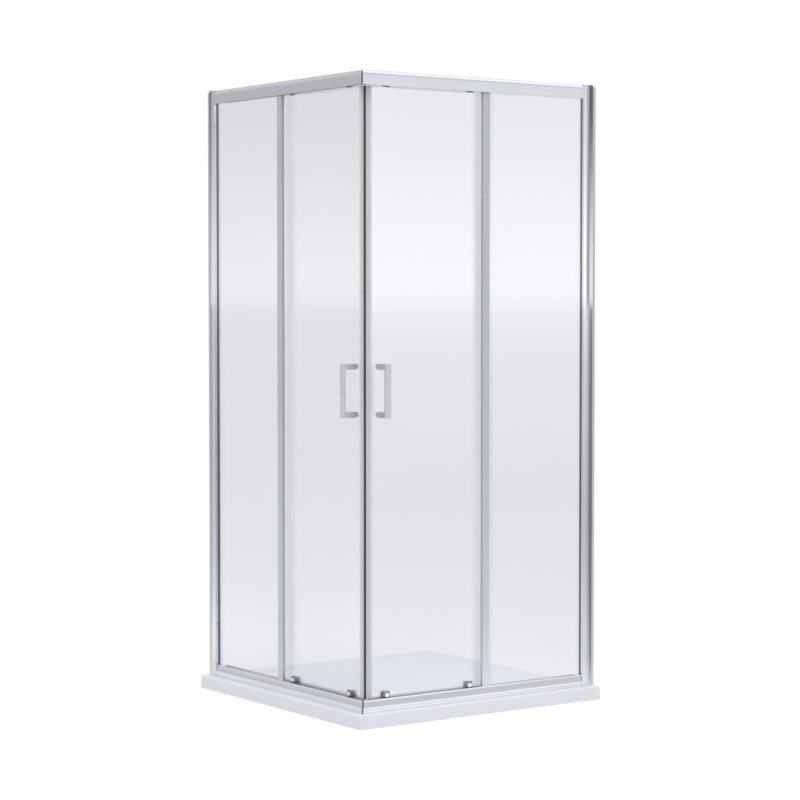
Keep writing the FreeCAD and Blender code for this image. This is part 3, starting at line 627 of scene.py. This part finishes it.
class Bench:
    """Models one piece at a time with the mesh operators."""

    # How squarely a face points along Z where it counts as an end
    END_FACE = 0.9
    # The angles past which an edge is rounded, and past which it is shaded as a corner
    SHARP_EDGE = math.radians(50)
    SHADED_CORNER = math.radians(35)

    @staticmethod
    def cylinder(name: str, radius: float, foot: float, top: float, sides: int = 48) -> bpy.types.Object:
        """Adds a cylinder along Z through the origin.

        Args:
            name: The piece's name.
            radius: Its radius.
            foot: Where it starts.
            top: Where it ends.
            sides: How many sides it has.

        Returns:
            The cylinder, its place in its mesh.
        """
        bpy.ops.object.select_all(action="DESELECT")
        bpy.ops.mesh.primitive_cylinder_add(vertices=sides, radius=radius, depth=top - foot,
                                            location=(0, 0, (foot + top) / 2))
        bpy.ops.object.transform_apply()
        piece = bpy.context.object
        piece.name = piece.data.name = name
        return piece

    @staticmethod
    def bar(name: str, size: tuple[float, float, float], foot: float) -> bpy.types.Object:
        """Adds a bar that stands on a height above the origin, as a cutter.

        Args:
            name: The piece's name.
            size: Its three sides.
            foot: Where it starts.

        Returns:
            The bar, its place in its mesh.
        """
        bpy.ops.object.select_all(action="DESELECT")
        bpy.ops.mesh.primitive_cube_add(size=1.0, location=(0, 0, foot + size[2] / 2), scale=size)
        bpy.ops.object.transform_apply()
        bpy.context.object.name = name
        return bpy.context.object

    @staticmethod
    def open_at(piece: bpy.types.Object, wanted: Callable[[bpy.types.MeshPolygon], bool]) -> None:
        """Opens a piece for editing with some of its faces selected.

        Args:
            piece: The piece.
            wanted: Says of a face whether it is selected.
        """
        Bench.close()
        bpy.ops.object.select_all(action="DESELECT")
        piece.select_set(True)
        bpy.context.view_layer.objects.active = piece
        bpy.context.tool_settings.mesh_select_mode = (False, False, True)
        for parts in (piece.data.vertices, piece.data.edges, piece.data.polygons):
            parts.foreach_set("select", [False] * len(parts))
        for face in piece.data.polygons:
            face.select = wanted(face)
        bpy.ops.object.mode_set(mode="EDIT")

    @staticmethod
    def close() -> None:
        """Ends editing."""
        if bpy.context.mode != "OBJECT":
            bpy.ops.object.mode_set(mode="OBJECT")

    @staticmethod
    def raise_faces(height: float) -> None:
        """Extrudes the selected faces along their normals, or sinks them."""
        bpy.ops.mesh.extrude_region_shrink_fatten(TRANSFORM_OT_shrink_fatten={"value": height})

    @staticmethod
    def soften(piece: bpy.types.Object, width: float, segments: int = 2) -> None:
        """Rounds all the sharp edges of a piece.

        Args:
            piece: The piece.
            width: How wide the rounding is.
            segments: How many steps it has.
        """
        Bench.open_at(piece, lambda face: False)
        bpy.ops.mesh.select_mode(type="EDGE")
        bpy.ops.mesh.edges_select_sharp(sharpness=Bench.SHARP_EDGE)
        bpy.ops.mesh.bevel(offset=width, segments=segments)
        Bench.close()

    @staticmethod
    def carve(piece: bpy.types.Object, cutter: bpy.types.Object) -> None:
        """Takes a cutter's shape out of a piece and clears the cutter away.

        Args:
            piece: The piece.
            cutter: The shape that goes.
        """
        bpy.ops.object.select_all(action="DESELECT")
        bpy.context.view_layer.objects.active = piece
        cut = piece.modifiers.new("cut", "BOOLEAN")
        cut.object, cut.operation, cut.solver = cutter, "DIFFERENCE", "EXACT"
        bpy.ops.object.modifier_apply(modifier=cut.name)
        bpy.data.objects.remove(cutter)

    @staticmethod
    def smooth(piece: bpy.types.Object) -> None:
        """Shades a piece smooth, but for its corners.

        Args:
            piece: The piece.
        """
        bpy.ops.object.select_all(action="DESELECT")
        piece.select_set(True)
        bpy.context.view_layer.objects.active = piece
        bpy.ops.object.shade_smooth_by_angle(angle=Bench.SHADED_CORNER)

    @staticmethod
    def copies(pattern: bpy.types.Object, name: str, places: list[Matrix]) -> bpy.types.Object:
        """Sets copies of a pattern at some places, as one piece.

        Args:
            pattern: The piece that is repeated.
            name: The new piece's name.
            places: The turn and place of each copy.

        Returns:
            The new piece.
        """
        bpy.ops.object.select_all(action="DESELECT")
        for place in places:
            copy = pattern.copy()
            copy.data = pattern.data.copy()
            copy.data.transform(place)
            bpy.context.scene.collection.objects.link(copy)
            copy.select_set(True)
            bpy.context.view_layer.objects.active = copy
        if len(places) > 1:
            bpy.ops.object.join()
        piece = bpy.context.view_layer.objects.active
        piece.name = piece.data.name = name
        return piece


@dataclass
class RollerWheel:
    """A nylon wheel: a tyre round a thin web with openings, and a hub on its axle."""

    radius: float
    rim: float
    hub_radius: float
    opening_radius: float
    groove_depth: float = 0.0
    groove_width: float = 0.0026
    width: float = 0.006
    web: float = 0.0026
    bore_radius: float = 0.00305
    openings: int = 5
    opening_sides: int = 20
    edge: float = 0.0003
    tread_from: float = 0.95
    tread_tilt: float = 0.5

    def build(self, name: str) -> bpy.types.Object:
        """Models the wheel about the origin, its axle along Z.

        Args:
            name: The wheel's name.

        Returns:
            The wheel.
        """
        sunk = (self.width - self.web) / 2
        wheel = Bench.cylinder(name, self.radius, -self.width / 2, self.width / 2)
        Bench.open_at(wheel, lambda face: abs(face.normal.z) > Bench.END_FACE)
        bpy.ops.mesh.inset(thickness=self.rim, use_individual=True)
        Bench.raise_faces(-sunk)
        bpy.ops.mesh.inset(thickness=self.radius - self.rim - self.hub_radius, use_individual=True)
        Bench.raise_faces(sunk)
        bpy.ops.mesh.inset(thickness=self.hub_radius - self.bore_radius, use_individual=True)
        bpy.ops.mesh.bridge_edge_loops()
        if self.groove_depth:
            Bench.open_at(wheel, self.is_tread)
            bpy.ops.mesh.inset(thickness=(self.width - self.groove_width) / 2)
            Bench.raise_faces(-self.groove_depth)
        Bench.soften(wheel, self.edge)
        Bench.carve(wheel, self.opening_cutter())
        Bench.smooth(wheel)
        return wheel

    def is_tread(self, face: bpy.types.MeshPolygon) -> bool:
        """True of the faces round the outside of the tyre."""
        outside = face.center.xy.length > self.tread_from * self.radius
        return outside and abs(face.normal.z) < self.tread_tilt

    def opening_cutter(self) -> bpy.types.Object:
        """The round bars that cut the web's openings.

        Returns:
            The cutter.
        """
        bar = Bench.cylinder("opening_bar", self.opening_radius, -self.width, self.width,
                             self.opening_sides)
        reach = Matrix.Translation(((self.radius - self.rim + self.hub_radius) / 2, 0, 0))
        step = 2 * math.pi / self.openings
        places = [Matrix.Rotation(step * number, 4, "Z") @ reach for number in range(self.openings)]
        cutter = Bench.copies(bar, "opening_cutter", places)
        bpy.data.objects.remove(bar)
        return cutter


@dataclass
class Fastener:
    """A screw or bolt with a rounded head and a recess for its driver."""

    head_radius: float
    head_height: float
    shank_radius: float
    shank_length: float
    drive: Drive
    recess_span: float
    recess_depth: float
    head_sides: int = 40
    dome_share: float = 0.6
    dome_steps: int = 5
    tip_share: float = 0.6
    blade_share: float = 0.22

    def build(self, name: str) -> bpy.types.Object:
        """Models the fastener on its seat at the origin, its head up.

        Args:
            name: The fastener's name.

        Returns:
            The fastener.
        """
        piece = Bench.cylinder(name, self.head_radius, 0.0, self.head_height, self.head_sides)
        Bench.open_at(piece, lambda face: face.normal.z > Bench.END_FACE)
        bpy.ops.mesh.bevel(offset=self.dome_share * self.head_height, segments=self.dome_steps)
        Bench.open_at(piece, lambda face: face.normal.z < -Bench.END_FACE)
        bpy.ops.mesh.inset(thickness=self.head_radius - self.shank_radius)
        Bench.raise_faces(self.shank_length - self.shank_radius)
        Bench.raise_faces(self.shank_radius)
        bpy.ops.transform.resize(value=(self.tip_share, self.tip_share, 1.0))
        Bench.close()
        self.cut_recess(piece)
        Bench.smooth(piece)
        return piece

    def cut_recess(self, piece: bpy.types.Object) -> None:
        """Cuts the driver's recess into the head.

        Args:
            piece: The fastener.
        """
        foot, tall = self.head_height - self.recess_depth, 2 * self.head_height
        if self.drive is Drive.HEX:
            Bench.carve(piece, Bench.cylinder("hex_key", self.recess_span / 2, foot, tall, Drive.HEX.value))
            return
        span, blade = self.recess_span, self.blade_share * self.recess_span
        Bench.carve(piece, Bench.bar("first_blade", (span, blade, tall), foot))
        Bench.carve(piece, Bench.bar("second_blade", (blade, span, tall), foot))


@dataclass
class FrameWork:
    """Rails, posts, wall channels, corner pieces, gaskets and screws."""

    screw_run: float = 0.428
    screw_seat: float = -0.397
    screw_heights: tuple[float, ...] = (0.193, 0.963, 1.733)

    def build(self) -> None:
        """Models the screws that hold the posts to the wall channels."""
        screw = Fastener(head_radius=0.0035, head_height=0.0022, shank_radius=0.0019, shank_length=0.0075,
                         drive=Drive.CROSS, recess_span=0.0038, recess_depth=0.0012)
        pattern = screw.build("post_screw")
        places = [Matrix.Translation(side.spot(self.screw_run, self.screw_seat, height)) @ side.inward
                  for side in Side for height in self.screw_heights]
        screws = Bench.copies(pattern, "post_screw_set", places)
        bpy.data.objects.remove(pattern)
        stand_for(screws, "post_screws", "frame", STEEL)

    def dress(self) -> None:
        """Gives the frame's nodes their finishes."""
        for side in Side:
            dress(Palette.rail(side), f"top_rail_{side.label}", f"bottom_rail_{side.label}")
            dress(Palette.polished(Axis.Z), f"side_post_{side.label}")
            dress(Palette.satin(Axis.Z), f"wall_channel_{side.label}")
        dress(Palette.polished(Axis.Z), "post_caps")
        dress(CAST_METAL, "top_corner_connector", "bottom_corner_connector")
        dress(GREY_PLASTIC, "rail_end_brackets")
        dress(RUBBER, "post_gaskets", "door_stops")
        dress(PALE_RUBBER, "rail_gaskets")
        dress(STEEL, "rail_screws")


@dataclass
class FixedPanel:
    """One side's fixed pane with its free edge's profile."""

    side: Side

    def dress(self) -> None:
        """Gives the panel's nodes their finishes."""
        dress(Palette.glass(self.side), f"fixed_glass_{self.side.label}")
        dress(Palette.satin(Axis.Z), f"fixed_edge_profile_{self.side.label}")


@dataclass
class SlidingDoor:
    """One side's sliding pane with its seals, rollers and handle."""

    side: Side
    bolt_head_radius: float = 0.006
    bolt_head_height: float = 0.003

    def build(self) -> None:
        """Models the door's wheels and its handle's bolts."""
        upper = RollerWheel(radius=0.011, rim=0.0024, hub_radius=0.0056, opening_radius=0.0012)
        lower = RollerWheel(radius=0.010, rim=0.0030, hub_radius=0.0050, opening_radius=0.0008,
                            groove_depth=0.002)
        self.build_wheels("upper", upper)
        self.build_wheels("lower", lower)
        self.build_bolts()

    def build_wheels(self, level: str, wheel: RollerWheel) -> None:
        """Models the two wheels at one level.

        Args:
            level: The word at the start of their node names.
            wheel: Their sizes.
        """
        pattern = wheel.build(f"{level}_wheel_pattern")
        for place in ("front", "rear"):
            node = f"{level}_wheel_{place}_{self.side.label}"
            low, high = (Vector(corner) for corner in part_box(node))
            spot = Matrix.Translation((low + high) / 2) @ self.side.inward
            piece = Bench.copies(pattern, f"spoked_{node}", [spot])
            stand_for(piece, node, node, NYLON)
        bpy.data.objects.remove(pattern)

    def build_bolts(self) -> None:
        """Models the two bolts that hold the handle."""
        node = f"handle_bolts_{self.side.label}"
        low, high = (Vector(corner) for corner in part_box(node))
        bolt = Fastener(self.bolt_head_radius, self.bolt_head_height, shank_radius=0.003,
                        shank_length=0.022, drive=Drive.HEX, recess_span=0.0046, recess_depth=0.002)
        pattern = bolt.build("handle_bolt")
        run = (low + high)[self.side.run.value] / 2
        seat = high[self.side.facing.value] - self.bolt_head_height
        heights = (low.z + self.bolt_head_radius, high.z - self.bolt_head_radius)
        places = [Matrix.Translation(self.side.spot(run, seat, height)) @ self.side.inward
                  for height in heights]
        bolts = Bench.copies(pattern, f"socket_{node}", places)
        bpy.data.objects.remove(pattern)
        stand_for(bolts, node, f"{self.side.label}_door", STEEL)

    def dress(self) -> None:
        """Gives the door's nodes their finishes."""
        end = self.side.label
        dress(Palette.glass(self.side), f"door_glass_{end}")
        dress(CLOUDY_VINYL, f"door_leading_seal_{end}", f"handle_washers_{end}")
        dress(VINYL, f"door_trailing_seal_{end}")
        dress(MAGNET, f"door_magnet_strip_{end}")
        dress(HANDLE_CHROME, f"door_handle_{end}")
        dress(GREY_CHROME, f"upper_roller_caps_{end}")
        # The lower roller housings' chrome carries painted shade, its colour darkened in place of a dark
        # reflection.
        dress(SHADE_PAINTED_CHROME, f"lower_roller_housings_{end}")
        dress(CHROME, f"release_button_front_{end}", f"release_button_rear_{end}")
        dress(STEEL, f"release_springs_{end}")
        dress(GREY_PLASTIC, f"roller_bushes_{end}")


@dataclass
class Tray:
    """The shower tray with its outlet."""

    def dress(self) -> None:
        """Gives the tray's nodes their finishes."""
        dress(TRAY_WHITE, "shower_tray")
        dress(CHROME, "waste_flange", "waste_cover")


class Surroundings:
    """What polished metal and glass mirror: a pale room with a bright horizon, over a pale floor.

    The room is darker in two stretches, to either side behind the object. RIGHT_FLOOR and LEFT_FLOOR run
    by the way out from the object, over REACH in metres. The other tables run by compass turn, as turn
    gives it.
    """

    SKY_TURNS = {0.0: 0.85, 0.153: 1.0, 0.335: 0.92, 0.361: 0.86, 0.385: 0.54, 0.425: 0.10, 0.47: 0.10,
                 0.505: 0.60, 0.66: 0.60, 0.69: 0.10, 0.755: 0.12, 0.832: 0.53, 0.87: 0.53, 1.0: 0.85}
    HORIZON = {0.361: 1.0, 0.378: 0.0, 0.405: 0.0, 0.43: 0.72, 0.66: 0.72, 0.70: 0.30,
               0.832: 0.52, 1.0: 0.70}
    HORIZON_HEIGHT = 0.095
    HORIZON_LEVEL = 1.3
    CEILING_RISE = (0.08, 0.14)
    CEILING_LEVEL = 0.68
    SOFTBOX_WAY = (0.606, -0.107, 0.788)
    SOFTBOX_EDGE = (0.79, 0.86)
    SOFTBOX_LEVEL = 0.45
    RIGHT_FLOOR = {0.05: 1.25, 0.10: 1.0, 0.20: 0.84, 0.385: 0.67, 0.456: 0.65, 0.637: 0.77, 1.0: 0.95}
    LEFT_FLOOR = {0.10: 0.81, 0.20: 0.92, 0.40: 0.68, 0.54: 0.62, 1.0: 0.64}
    FLOOR_SIDES = {0.10: 1.0, 0.20: 0.0, 0.50: 0.0, 0.65: 1.0}
    FLOOR_TURNS = {0.335: 1.0, 0.361: 0.97, 0.45: 0.30, 0.475: 0.30, 0.51: 0.75, 0.66: 0.75, 0.69: 0.42,
                   0.778: 0.72, 0.832: 1.06, 0.87: 1.0}
    REACH = (0.5, 200.0)

    @staticmethod
    def turn(desk: NodeDesk, way: list[bpy.types.NodeSocket]) -> bpy.types.NodeSocket:
        """The compass turn of a way, from 0 to 1, with the camera near 0.15."""
        return desk.ramp(desk.math("ARCTAN2", way[1], way[0]), -math.pi, math.pi, 0.0, 1.0)

    def floor(self, desk: NodeDesk) -> bpy.types.NodeSocket:
        """How bright the floor is where it is mirrored.

        Args:
            desk: The floor material's tree.

        Returns:
            The brightness at each place.
        """
        place = desk.add("NewGeometry").outputs["Position"]
        away = desk.math("MAXIMUM", desk.length(place), self.REACH[0])
        low, high = (math.log10(end) for end in self.REACH)
        share = desk.ramp(desk.math("LOGARITHM", away, 10.0), low, high, 0.0, 1.0)
        turn = self.turn(desk, desk.parts(place))
        side = desk.stops(turn, self.FLOOR_SIDES)
        level = desk.blend(side, desk.stops(share, self.RIGHT_FLOOR), desk.stops(share, self.LEFT_FLOOR))
        return desk.math("MULTIPLY", level, desk.stops(turn, self.FLOOR_TURNS))

    def sky(self, desk: NodeDesk) -> bpy.types.NodeSocket:
        """How bright the room is above the horizon.

        Args:
            desk: The world's tree.

        Returns:
            The brightness that each way shows.
        """
        heading = desk.add("TexCoord").outputs["Generated"]
        way = desk.parts(heading)
        turn = self.turn(desk, way)
        near = desk.ramp(way[2], 0.0, self.HORIZON_HEIGHT, 1.0, 0.0, smooth=True)
        band = desk.math("MULTIPLY", near, desk.stops(turn, self.HORIZON))
        lit = desk.lean(band, desk.stops(turn, self.SKY_TURNS), self.HORIZON_LEVEL)
        high = desk.ramp(way[2], *self.CEILING_RISE, 0.0, 1.0, smooth=True)
        room = desk.lean(high, lit, self.CEILING_LEVEL)
        compared = desk.add("VectorMath", {0: heading, 1: self.SOFTBOX_WAY}, operation="DOT_PRODUCT")
        towards = compared.outputs["Value"]
        softbox = desk.ramp(towards, *self.SOFTBOX_EDGE, 0.0, self.SOFTBOX_LEVEL, smooth=True)
        return desk.math("ADD", room, softbox)


@dataclass(frozen=True)
class Softbox:
    """A large square lamp."""

    name: str
    place: Place
    side: float
    power: float

    def hang(self, aim: Place) -> None:
        """Hangs the lamp, turned towards a place.

        Args:
            aim: The place.
        """
        data = bpy.data.lights.new(self.name, "AREA")
        data.size, data.energy = self.side, self.power
        lamp = bpy.data.objects.new(self.name, data)
        lamp.location = self.place
        lamp.visible_glossy = False
        lamp.rotation_euler = (Vector(aim) - Vector(self.place)).to_track_quat("-Z", "Y").to_euler()
        bpy.context.scene.collection.objects.link(lamp)


@dataclass
class Studio:
    """Camera, pale floor and soft light."""

    camera_place: Place = (-4.1493, -5.8658, 1.2317)
    camera_aim: Place = (0.57777, 0.81506, -0.04323)
    camera_lens: float = 103.643
    camera_reach: float = 2000.0
    sensor: float = 36.0
    floor_side: float = 1000.0
    floor_colour: Colour = (0.60, 0.60, 0.602)
    floor_glow: tuple[float, float] = (0.42, 0.47)
    glow_reach: tuple[float, float] = (1.0, 5.0)
    light_colour: Colour = (0.985, 0.99, 1.0)
    light_level: float = 0.92
    lamps: tuple[Softbox, ...] = (Softbox("overhead_softbox", (-0.6, -0.9, 4.6), side=3.4, power=30.0),
                                  Softbox("front_softbox", (1.6, -4.2, 3.0), side=2.6, power=8.0))
    lamp_aim: Place = (0.0, 0.0, 0.8)
    see_through_bounces: int = 32
    all_bounces: int = 24
    mirror_bounces: int = 16

    def build(self) -> None:
        """Sets the camera, the floor, the lamps and the world."""
        self.set_camera()
        self.lay_floor()
        for lamp in self.lamps:
            lamp.hang(self.lamp_aim)
        self.light_world()
        scene = bpy.context.scene
        scene.view_settings.view_transform = "Standard"
        scene.cycles.transparent_max_bounces = self.see_through_bounces
        scene.cycles.max_bounces = self.all_bounces
        scene.cycles.glossy_bounces = self.mirror_bounces

    def set_camera(self) -> None:
        """Puts the camera where the photograph was taken from."""
        data = bpy.data.cameras.new("photo_camera")
        data.lens, data.sensor_width, data.clip_end = self.camera_lens, self.sensor, self.camera_reach
        camera = bpy.data.objects.new("photo_camera", data)
        camera.location = self.camera_place
        camera.rotation_euler = Vector(self.camera_aim).to_track_quat("-Z", "Y").to_euler()
        bpy.context.scene.collection.objects.link(camera)
        bpy.context.scene.camera = camera

    def lay_floor(self) -> None:
        """Lays a pale floor that keeps the object's shadow."""
        bpy.ops.object.select_all(action="DESELECT")
        bpy.ops.mesh.primitive_plane_add(size=self.floor_side, location=(0, 0, 0))
        floor = bpy.context.object
        floor.name = "studio_floor"
        made = bpy.data.materials.new("studio_floor")
        made.use_nodes = True
        desk = NodeDesk(made.node_tree)
        path = desk.add("LightPath").outputs
        seen = desk.math("MAXIMUM", path["Is Camera Ray"], path["Is Transmission Ray"])
        matt = desk.add("BsdfDiffuse", {"Color": self.floor_colour}).outputs[0]
        away = desk.length(desk.add("NewGeometry").outputs["Position"])
        level = desk.ramp(away, *self.glow_reach, *self.floor_glow, smooth=True)
        glow = desk.add("Emission", {"Strength": desk.math("MULTIPLY", seen, level)}).outputs[0]
        lit = desk.add("AddShader", {0: matt, 1: glow}).outputs[0]
        shine = desk.add("Emission", {"Strength": Surroundings().floor(desk)}).outputs[0]
        shown = desk.add("MixShader", {0: path["Is Glossy Ray"], 1: lit, 2: shine}).outputs[0]
        desk.add("OutputMaterial", {"Surface": shown})
        floor.data.materials.append(made)

    def light_world(self) -> None:
        """Gives the room its even light, and what bright metal and glass mirror."""
        world = bpy.data.worlds.new("studio_room")
        world.use_nodes = True
        bpy.context.scene.world = world
        desk = NodeDesk(world.node_tree)
        path = desk.add("LightPath").outputs
        even = desk.add("Background", {"Color": self.light_colour, "Strength": self.light_level}).outputs[0]
        shine = desk.add("Background", {"Color": WHITE, "Strength": Surroundings().sky(desk)}).outputs[0]
        white = desk.add("Background", {"Color": WHITE, "Strength": 1.0}).outputs[0]
        lit = desk.add("MixShader", {0: path["Is Glossy Ray"], 1: even, 2: shine}).outputs[0]
        seen = desk.math("MAXIMUM", path["Is Camera Ray"], path["Is Transmission Ray"])
        desk.add("OutputWorld", {"Surface": desk.add("MixShader", {0: seen, 1: lit, 2: white}).outputs[0]})


def main() -> None:
    """Builds and dresses the enclosure, piece by piece, in its studio."""
    logging.basicConfig(level=logging.INFO, format="%(message)s")
    framework = FrameWork()
    framework.build()
    framework.dress()
    for side in Side:
        FixedPanel(side).dress()
        door = SlidingDoor(side)
        door.build()
        door.dress()
    Tray().dress()
    Studio().build()


if __name__ == "__main__":
    main()
